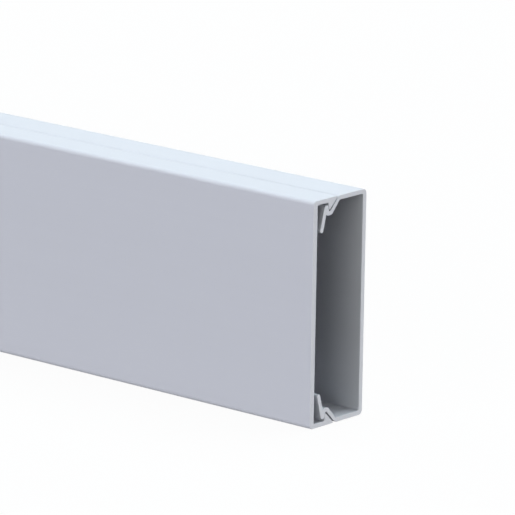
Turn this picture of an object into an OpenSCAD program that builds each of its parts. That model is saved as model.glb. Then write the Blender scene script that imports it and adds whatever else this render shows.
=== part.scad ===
// Clip-on cable trunking: an extruded channel (base) and the extruded cover (lid) that snaps into it.
// X runs along the length, the back of the base faces +Y, the face of the lid -Y, and Z = 0 is the
// narrow side that it stands on. All sizes are in millimetres.

/* [Stock] */
// Length of the piece of trunking
stock_length = 2000; // [500:50:3000]

/* [Section] */
// Overall height, across the two sides
section_h = 60; // [40:1:120]
// Overall depth, from the back of the base to the face of the lid
section_d = 21; // [18:0.5:60]

/* [Base walls] */
// Thickness of the back wall
back_t = 1.4; // [1:0.1:2.5]
// Thickness of the side walls
side_t = 1.2; // [0.9:0.1:1.8]
// Outer radius of the back corners
base_corner_r = 1.3; // [0.4:0.1:2.2]
// Inner radius of the back corners
base_root_r = 0.5; // [0.2:0.1:2]

/* [Lid walls] */
// Thickness of the lid's face
face_t = 1.6; // [1:0.1:2.4]
// Thickness of the lid's flanges
flange_t = 1.2; // [0.9:0.1:1.6]
// Outer radius of the lid's front corners
lid_corner_r = 1.6; // [0.5:0.1:2.6]
// Inner radius of the lid's front corners
lid_root_r = 0.4; // [0.1:0.1:1]

/* [Snap lock] */
// Distance from the lid's face to the point where the tooth's ramp would meet the outer side
seam_u = 9.6; // [9:0.1:11]
// Slope of the tooth's ramp and of the groove that takes it, measured from the outer side
ramp_angle = 45; // [42:1:50]
// Distance from the outer side to the tooth's tip, before the tip is rounded
tooth_h = 3.4; // [3:0.1:3.8]
// Radius of the tooth's tip
tooth_tip_r = 0.3; // [0.15:0.05:0.4]
// Lean of the tooth's locking side, measured from square to the outer side
hook_lean = 12; // [4:1:16]
// Thickness of the leg that slopes in from the base's side wall, beside the bottom of the groove
leg_t = 1.2; // [0.9:0.1:1.6]
// Slope of the leg's inner side, measured from the outer side
leg_angle = 48; // [45:1:50]
// Radius of the bottom of the groove
groove_r = 0.4; // [0.2:0.05:0.7]
// Thickness of the web under the tooth's tip
web_t = 1.2; // [0.9:0.05:1.6]
// Outer radius of the bend between the leg and the web
web_r = 1.3; // [0.5:0.1:2.4]
// Radius of the web's other end, beside the flap's root
web_end_r = 0.3; // [0.1:0.05:0.4]
// Width of the notch between the web and the flap's root
notch_w = 0.55; // [0.5:0.05:0.8]
// Depth of that notch
notch_d = 0.45; // [0.35:0.05:0.6]
// Radius of the bottom of that notch
notch_r = 0.15; // [0.05:0.05:0.2]
// Thickness of the flap
flap_t = 1.2; // [0.9:0.1:1.3]
// Length of the flap, along its lean
flap_len = 6.9; // [5:0.1:9]
// Lean of the flap towards the lid's face, measured from square to the outer side
flap_lean = 15; // [5:1:18]
// Width of the flap's blunt outer end
flap_end_w = 1.3; // [1.1:0.05:1.6]
// Width of the lid's blunt edge at the seam
lid_edge_w = 0.4; // [0.3:0.05:0.8]
// Radius of the corners of the lid's blunt edge
lid_edge_r = 0.15; // [0.05:0.05:0.2]
// Radius of the base's edge at the seam
base_edge_r = 2; // [0.2:0.1:2.4]
// Radius of the small inner corners of the lock
lock_root_r = 0.2; // [0.1:0.05:0.3]

/* [Fit] */
// Clearance between the tooth's ramp and the leg
ramp_gap = 0.4; // [0.2:0.05:0.5]
// Clearance between the tooth's locking side and the flap
hook_gap = 0.1; // [0.05:0.05:0.3]
// Clearance between the flap's outer end and the lid's flange
flap_gap = 0.7; // [0.4:0.05:0.9]

/* [Hidden] */
$fn = 64;

// A rounding reaches past its corner, and its disc past the straight sides, by these small amounts,
// so that their edges cross cleanly
round_spill = 0.1;
round_bite = 0.0005;

// A point of the half section is [u, h]: u is the distance from the lid's face,
// h the distance in from the nearer outer side.

// Edge and tooth of the lid
lid_end = seam_u - lid_edge_w / tan(ramp_angle);
tooth_tip = [seam_u - tooth_h / tan(ramp_angle), tooth_h];
tooth_root = [locking_side(flange_t), flange_t];

// Groove of the base, which follows the tooth at the two clearances
groove_mouth = [seam_u + ramp_gap / sin(ramp_angle), 0];
groove_h = (groove_mouth[0] - hook_side(0)) / (tan(hook_lean) + 1 / tan(ramp_angle));
groove_bottom = [hook_side(groove_h), groove_h];

// Leg and web under the groove: leg_inner is the point of the leg's inner side beside the groove's bottom
leg_inner = groove_bottom + leg_t * [sin(ramp_angle), cos(ramp_angle)];
leg_root = [leg_side(side_t), side_t];
web_h = tooth_h + web_t;
web_bend = [leg_side(web_h), web_h];

// Flap
flap_end_h = flange_t + flap_gap;
flap_end_r = 0.45 * flap_t;
flap_along = [-sin(flap_lean), cos(flap_lean)];
flap_across = [cos(flap_lean), sin(flap_lean)];
flap_outer_back = [hook_side(flap_end_h), flap_end_h];
flap_outer_front = flap_outer_back - [flap_end_w, 0];
flap_inner_front = flap_outer_front + flap_len * flap_along;
flap_inner_back = flap_inner_front + flap_t * flap_across;

// Notch between the web's end and the flap's root
web_end = [flap_side(web_h) + notch_w, web_h];
flap_root = [flap_side(web_h - notch_d), web_h - notch_d];

// Half outlines from the middle of the section round to the middle: each entry is a corner and its radius
base_half = [
    [[section_d - back_t, section_h / 2]],
    [[section_d - back_t, side_t], base_root_r],
    [leg_root, lock_root_r],
    [web_bend, web_r],
    [web_end, web_end_r],
    [flap_root, notch_r],
    [flap_inner_back, flap_end_r],
    [flap_inner_front, flap_end_r],
    [flap_outer_front, flap_end_r],
    [flap_outer_back, flap_end_r],
    [groove_bottom, groove_r],
    [groove_mouth, base_edge_r],
    [[section_d, 0], base_corner_r],
    [[section_d, section_h / 2]],
];
lid_half = [
    [[0, section_h / 2]],
    [[0, 0], lid_corner_r],
    [[lid_end, 0], lid_edge_r],
    [[lid_end, lid_edge_w], lid_edge_r],
    [tooth_tip, tooth_tip_r],
    [tooth_root, lock_root_r],
    [[face_t, flange_t], lid_root_r],
    [[face_t, section_h / 2]],
];

// Place along the depth of the tooth's locking side, and of the flap's side that it hooks on, at h
function locking_side(h) = tooth_tip[0] - (tooth_h - h) * tan(hook_lean);
function hook_side(h) = locking_side(h) - hook_gap / cos(hook_lean);

// Place along the depth of the leg's inner side, and of the flap's back, at h
function leg_side(h) = leg_inner[0] - (h - leg_inner[1]) / tan(leg_angle);
function flap_side(h) = flap_inner_back[0] + (flap_inner_back[1] - h) * tan(flap_lean);

function unit(v) = v / norm(v);
function turn(a, b, c) = cross(b - a, c - b);

// What rounds the corner b of the path a-b-c: a kite about the corner, with a disc of radius r taken out
module rounding(a, b, c, r) {
    to_a = unit(a - b);
    to_c = unit(c - b);
    half_angle = acos(to_a * to_c) / 2;
    tangent = r / tan(half_angle);
    centre = b + unit(to_a + to_c) * r / sin(half_angle);
    kite = [centre, b + tangent * to_a, b, b + tangent * to_c];
    translate(centre)
        difference() {
            scale((r + round_spill) / r) polygon([for (p = kite) p - centre]);
            circle(r + round_bite);
        }
}

// Roundings of the corners that turn left: the outer ones as the outline is followed forwards (way 1),
// the inner ones as it is followed backwards (way -1)
module roundings(corners, way) {
    for (i = [1:len(corners) - 2]) {
        a = corners[i - way][0];
        b = corners[i][0];
        c = corners[i + way][0];
        if (turn(a, b, c) > 0) rounding(a, b, c, corners[i][1]);
    }
}

// Half section: the outline with its inner corners filled and its outer corners cut to their radii
module half_section(corners) {
    difference() {
        union() {
            polygon([for (corner = corners) corner[0]]);
            roundings(corners, -1);
        }
        roundings(corners, 1);
    }
}

// Extrusion of a half section and its mirror image along the length, set on the middle of its depth
module extrusion(corners) {
    rotate([90, 0, 90])
        linear_extrude(stock_length, center = true)
            translate([-section_d / 2, 0]) {
                half_section(corners);
                translate([0, section_h]) mirror([0, 1]) half_section(corners);
            }
}

// Channel that is fixed to the wall, with a leg and a flap along each side
module base() {
    color([0.86, 0.89, 0.92]) extrusion(base_half);
}

// Cover with a tooth along each flange
module lid() {
    color([0.88, 0.91, 0.94]) extrusion(lid_half);
}

base();
lid();
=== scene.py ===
"""Looks of a length of clip-on cable trunking in pale grey PVC, seen from its sawn end."""
import math

import bmesh
import bpy
from mathutils import Matrix, Vector


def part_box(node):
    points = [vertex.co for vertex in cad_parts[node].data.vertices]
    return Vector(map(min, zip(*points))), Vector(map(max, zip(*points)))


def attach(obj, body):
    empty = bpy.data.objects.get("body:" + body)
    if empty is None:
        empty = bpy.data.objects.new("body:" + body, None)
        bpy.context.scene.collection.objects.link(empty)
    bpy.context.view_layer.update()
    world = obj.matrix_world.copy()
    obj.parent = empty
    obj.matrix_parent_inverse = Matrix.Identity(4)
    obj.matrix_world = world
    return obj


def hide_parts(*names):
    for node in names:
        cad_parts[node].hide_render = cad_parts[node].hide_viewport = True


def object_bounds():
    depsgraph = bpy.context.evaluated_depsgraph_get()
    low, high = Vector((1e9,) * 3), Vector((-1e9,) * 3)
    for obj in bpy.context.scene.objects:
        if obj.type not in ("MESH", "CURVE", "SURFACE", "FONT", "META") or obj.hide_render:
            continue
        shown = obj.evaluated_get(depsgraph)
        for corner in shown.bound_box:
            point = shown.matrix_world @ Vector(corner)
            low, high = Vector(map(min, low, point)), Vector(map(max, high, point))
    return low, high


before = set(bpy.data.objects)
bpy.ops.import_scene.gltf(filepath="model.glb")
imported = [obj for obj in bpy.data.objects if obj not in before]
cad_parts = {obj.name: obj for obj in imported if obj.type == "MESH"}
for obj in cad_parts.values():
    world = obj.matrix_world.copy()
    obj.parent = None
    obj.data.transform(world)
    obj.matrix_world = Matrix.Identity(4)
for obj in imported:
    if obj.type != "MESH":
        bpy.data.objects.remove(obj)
cad_low, cad_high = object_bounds()

# Photograph: the view that was fitted to the sawn end, in degrees, pixels and metres
IMAGE_PX = 515
FOCAL_PX = 5320.0
VIEW_AZIMUTH = 40.390
VIEW_ELEVATION = 14.121
VIEW_ROLL = 0.925
# The middle of the lid's front edge at the near end: its pixel, and its distance from the camera
EDGE_PX = (311.77, 316.66)
EDGE_DEPTH = 1.352165
SENSOR_MM = 36.0
CLIP_NEAR = 0.01
CLIP_FAR = 200.0

# Lid: the radius of its long front edges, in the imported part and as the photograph's shading shows it
PACKED_EDGE_R = 0.0016
EDGE_R = 0.0012
ARC_MISS = 0.00002

# Sawn ends: how far their edges are broken
CHAMFER = 0.00010
CHAMFER_STEPS = 2

# Meshes: the limits for points that are one, faces that are one plane, and edges that are shaded smooth
WELD = 1e-6
FLAT_ANGLE = math.radians(0.5)
SMOOTH_ANGLE = math.radians(32)

# Rigid PVC
PVC_COLOUR = (0.68, 0.695, 0.735)
PVC_IOR = 1.53
# Its extruded skin: the swing of its tone and roughness, and the depth of the die lines
SKIN_TONE = (0.990, 1.010)
SKIN_ROUGHNESS = (0.74, 0.84)
DIE_LINE_DEPTH = 0.00002
# Its sawn ends: the swing of their tone, their roughness, the depth of the blade's ring marks, and the
# shift that sets the middle of those rings in front of the section and below it
CUT_TONE = (0.96, 1.04)
CUT_ROUGHNESS = 0.65
BLADE_MARK_DEPTH = 0.00003
BLADE_SHIFT = (0.0, 0.11, 0.05)

# Studio: a light table, whose even glow from below reaches the rounded lower edges
WHITE = (1.0, 1.0, 1.0, 1.0)
FLOOR_SIZE = 80.0
FLOOR_DROP = 0.0001
FLOOR_COLOUR = (0.80, 0.80, 0.80, 1.0)
FLOOR_WHITE = 0.95
TABLE_LEVEL = 0.15
SKY_LEVEL = 0.03
# Lamps: the colour of each, and its azimuth, elevation and width in degrees
LAMPS = {
    "key": ((0.765, 0.855, 0.895), 178.0, 71.0, 45.0),
    "front_high": ((0.15, 0.15, 0.15), -10.0, 30.0, 30.0),
    "front_left": ((0.35, 0.36, 0.44), -20.0, 8.0, 40.0),
    "front_right": ((0.285, 0.29, 0.285), 15.0, 8.0, 40.0),
    "right_end": ((0.50, 0.50, 0.51), 90.0, 4.0, 10.0),
    "left_end": ((0.50, 0.50, 0.51), -90.0, 4.0, 10.0),
    "back": ((0.35, 0.35, 0.37), 180.0, 5.0, 40.0),
}


class Graph:
    """A node tree with short calls for adding and linking nodes."""

    def __init__(self, tree):
        self.tree = tree
        self.tree.nodes.clear()

    def add(self, kind, inputs=None, **settings):
        node = self.tree.nodes.new(kind)
        for key, value in settings.items():
            setattr(node, key, value)
        for key, value in (inputs or {}).items():
            if isinstance(value, bpy.types.NodeSocket):
                self.tree.links.new(value, node.inputs[key])
            else:
                node.inputs[key].default_value = value
        return node

    def math(self, operation, first, second):
        return self.add("ShaderNodeMath", {0: first, 1: second}, operation=operation).outputs[0]

    def spread(self, value, low, high):
        """Maps a value from 0..1 to low..high."""
        return self.add("ShaderNodeMapRange", {"Value": value, "To Min": low, "To Max": high}).outputs[0]

    def seen(self):
        """1 for what the camera sees, straight or in a glossy or clear surface, and 0 for lighting."""
        path = self.add("ShaderNodeLightPath").outputs
        mirrored = self.math("MAXIMUM", path["Is Glossy Ray"], path["Is Transmission Ray"])
        return self.math("MAXIMUM", path["Is Camera Ray"], mirrored)


def new_material(name):
    material = bpy.data.materials.new(name)
    material.use_nodes = True
    return material, Graph(material.node_tree)


def streaks(graph, along, across, detail):
    """Noise drawn out along the length: `along` and `across` are in cycles per metre."""
    place = graph.add("ShaderNodeTexCoord").outputs["Object"]
    mapped = graph.add("ShaderNodeMapping", {"Vector": place, "Scale": (along, across, across)})
    noise = graph.add("ShaderNodeTexNoise", {"Vector": mapped.outputs[0], "Scale": 1.0, "Detail": detail})
    return noise.outputs[0]


def pvc_tone(graph, tone):
    """The plastic's colour, made lighter or darker by a tone near 1."""
    return graph.add("ShaderNodeVectorMath", {0: PVC_COLOUR, "Scale": tone}, operation="SCALE").outputs[0]


def pvc_skin(name):
    """Extruded surface: even, nearly matt, with faint die lines along the length."""
    material, graph = new_material(name)
    lines = streaks(graph, along=0.7, across=650.0, detail=3.0)
    broad = streaks(graph, along=2.5, across=60.0, detail=2.0)
    tone = graph.math("MULTIPLY", graph.spread(broad, *SKIN_TONE), graph.spread(lines, *SKIN_TONE))
    bump = graph.add("ShaderNodeBump", {"Height": lines, "Strength": 0.25, "Distance": DIE_LINE_DEPTH})
    shader = graph.add("ShaderNodeBsdfPrincipled", {
        "Base Color": pvc_tone(graph, tone),
        "Roughness": graph.spread(lines, *SKIN_ROUGHNESS),
        "Normal": bump.outputs[0],
        "IOR": PVC_IOR,
    })
    graph.add("ShaderNodeOutputMaterial", {"Surface": shader.outputs[0]})
    return material


def pvc_cut(name):
    """Sawn end: matt, with fine marks left by the blade."""
    material, graph = new_material(name)
    place = graph.add("ShaderNodeTexCoord").outputs["Object"]
    moved = graph.add("ShaderNodeMapping", {"Vector": place, "Location": BLADE_SHIFT})
    marks = graph.add("ShaderNodeTexWave", {
        "Vector": moved.outputs[0], "Scale": 420.0, "Distortion": 1.5, "Detail": 2.0, "Detail Scale": 1.0,
    }, wave_type="RINGS", rings_direction="X").outputs["Fac"]
    grain = graph.add("ShaderNodeTexNoise", {"Vector": place, "Scale": 1600.0, "Detail": 3.0}).outputs[0]
    relief = graph.math("ADD", marks, grain)
    bump = graph.add("ShaderNodeBump", {"Height": relief, "Strength": 0.2, "Distance": BLADE_MARK_DEPTH})
    shader = graph.add("ShaderNodeBsdfPrincipled", {
        "Base Color": pvc_tone(graph, graph.spread(grain, *CUT_TONE)),
        "Roughness": CUT_ROUGHNESS,
        "Normal": bump.outputs[0],
        "IOR": PVC_IOR,
    })
    graph.add("ShaderNodeOutputMaterial", {"Surface": shader.outputs[0]})
    return material


def tighten_front_edges(bm, low, high):
    """Draws the lid's two long front edges, which are quarter rounds, to their smaller radius."""
    for vert in bm.verts:
        for side_z, way in ((low.z, -1), (high.z, 1)):
            arm = Vector((vert.co.y - low.y - PACKED_EDGE_R, vert.co.z - side_z + way * PACKED_EDGE_R))
            in_quarter = arm.x < ARC_MISS and way * arm.y > -ARC_MISS
            if in_quarter and abs(arm.length - PACKED_EDGE_R) < ARC_MISS:
                arm *= EDGE_R / PACKED_EDGE_R
                vert.co.y = low.y + EDGE_R + arm.x
                vert.co.z = side_z - way * EDGE_R + arm.y


def lies_at(edge, x):
    """Whether both points of an edge are at this place along the length."""
    return all(abs(vert.co.x - x) < WELD for vert in edge.verts)


def break_end_edges(bm, low, high):
    """Breaks the edges of the two sawn ends, and gives the ends the second material."""
    ends = [edge for edge in bm.edges if lies_at(edge, low.x) or lies_at(edge, high.x)]
    bmesh.ops.bevel(bm, geom=ends, offset=CHAMFER, segments=CHAMFER_STEPS, profile=0.5, affect="EDGES")
    for face in bm.faces:
        face.smooth = True
        to_end = min(abs(face.calc_center_median().x - x) for x in (low.x, high.x))
        face.material_index = 1 if to_end < 2 * CHAMFER else 0


def sawn_extrusion(node, piece_name, skin, cut):
    """A clean copy of an extruded CAD node: quads along the length, and sawn ends with broken edges."""
    bm = bmesh.new()
    bm.from_mesh(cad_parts[node].data)
    bmesh.ops.remove_doubles(bm, verts=bm.verts, dist=WELD)
    bmesh.ops.dissolve_limit(bm, angle_limit=FLAT_ANGLE, verts=bm.verts, edges=bm.edges)
    low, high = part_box(node)
    if node == "lid":
        tighten_front_edges(bm, low, high)
    break_end_edges(bm, low, high)
    mesh = bpy.data.meshes.new(piece_name)
    bm.to_mesh(mesh)
    bm.free()
    for name in ("custom_normal", "sharp_edge", "sharp_face"):
        if name in mesh.attributes:
            mesh.attributes.remove(mesh.attributes[name])
    mesh.set_sharp_from_angle(angle=SMOOTH_ANGLE)
    mesh.materials.append(skin)
    mesh.materials.append(cut)
    piece = bpy.data.objects.new(piece_name, mesh)
    bpy.context.scene.collection.objects.link(piece)
    flat = piece.modifiers.new("flat_faces", "WEIGHTED_NORMAL")
    flat.keep_sharp = True
    return piece


def make_floor():
    """Pale floor: white to the camera but for a faint shadow; for lighting, a dim even glow."""
    material, graph = new_material("floor")
    matt = graph.add("ShaderNodeBsdfDiffuse", {"Color": FLOOR_COLOUR})
    white = graph.add("ShaderNodeEmission", {"Color": WHITE, "Strength": 1.0})
    pale = graph.add("ShaderNodeMixShader", {0: FLOOR_WHITE, 1: matt.outputs[0], 2: white.outputs[0]})
    table = graph.add("ShaderNodeEmission", {"Color": WHITE, "Strength": TABLE_LEVEL})
    mixed = graph.add("ShaderNodeMixShader", {0: graph.seen(), 1: table.outputs[0], 2: pale.outputs[0]})
    graph.add("ShaderNodeOutputMaterial", {"Surface": mixed.outputs[0]})
    bpy.ops.mesh.primitive_plane_add(size=FLOOR_SIZE, location=(0.0, 0.0, cad_low.z - FLOOR_DROP))
    floor = bpy.context.object
    floor.name = "floor"
    floor.data.materials.append(material)


def make_world():
    """White to the camera; for lighting, a dim even sky."""
    world = bpy.data.worlds.new("studio")
    bpy.context.scene.world = world
    world.use_nodes = True
    graph = Graph(world.node_tree)
    sky = graph.add("ShaderNodeBackground", {"Color": WHITE, "Strength": SKY_LEVEL})
    white = graph.add("ShaderNodeBackground", {"Color": WHITE, "Strength": 1.0})
    mixed = graph.add("ShaderNodeMixShader", {0: graph.seen(), 1: sky.outputs[0], 2: white.outputs[0]})
    graph.add("ShaderNodeOutputWorld", {"Surface": mixed.outputs[0]})


def direction(azimuth, elevation):
    """Unit vector towards a place seen at these angles: azimuth 0 is -Y, and 90 is +X."""
    a, e = math.radians(azimuth), math.radians(elevation)
    return Vector((math.sin(a) * math.cos(e), -math.cos(a) * math.cos(e), math.sin(e)))


def make_sun(name, colour, azimuth, elevation, width):
    """A broad lamp far away. Its colour is what it gives to a white surface that faces it."""
    data = bpy.data.lights.new(name, "SUN")
    data.energy = math.pi
    data.angle = math.radians(width)
    data.color = colour
    lamp = bpy.data.objects.new(name, data)
    lamp.rotation_mode = "QUATERNION"
    lamp.rotation_quaternion = direction(azimuth, elevation).to_track_quat("Z", "Y")
    bpy.context.scene.collection.objects.link(lamp)


def make_camera():
    """Camera at the photograph's view, with the near end's front edge on its pixel."""
    back = direction(VIEW_AZIMUTH, VIEW_ELEVATION)
    level = Vector((0.0, 0.0, 1.0)).cross(back).normalized()
    rise = back.cross(level)
    roll = math.radians(VIEW_ROLL)
    right = math.cos(roll) * level + math.sin(roll) * rise
    up = math.cos(roll) * rise - math.sin(roll) * level
    edge = Vector((cad_high.x, cad_low.y, (cad_low.z + cad_high.z) / 2))
    aside = (EDGE_PX[0] - IMAGE_PX / 2) / FOCAL_PX * EDGE_DEPTH
    above = (IMAGE_PX / 2 - EDGE_PX[1]) / FOCAL_PX * EDGE_DEPTH
    data = bpy.data.cameras.new("camera")
    data.sensor_width = SENSOR_MM
    data.lens = FOCAL_PX / IMAGE_PX * SENSOR_MM
    data.clip_start = CLIP_NEAR
    data.clip_end = CLIP_FAR
    camera = bpy.data.objects.new("camera", data)
    turn = Matrix((right, up, back)).transposed().to_4x4()
    camera.matrix_world = Matrix.Translation(edge + EDGE_DEPTH * back - aside * right - above * up) @ turn
    bpy.context.scene.collection.objects.link(camera)
    bpy.context.scene.camera = camera


skin = pvc_skin("pvc_skin")
cut = pvc_cut("pvc_cut")
for node, body, slot in (("base", "base", "base_pvc"), ("lid", "lid", "lid_pvc")):
    piece = sawn_extrusion(node, node + "_extrusion", skin, cut)
    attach(piece, body)
    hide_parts(node)

make_floor()
make_world()
for name, settings in LAMPS.items():
    make_sun(name, *settings)
make_camera()
bpy.context.scene.view_settings.view_transform = "Standard"
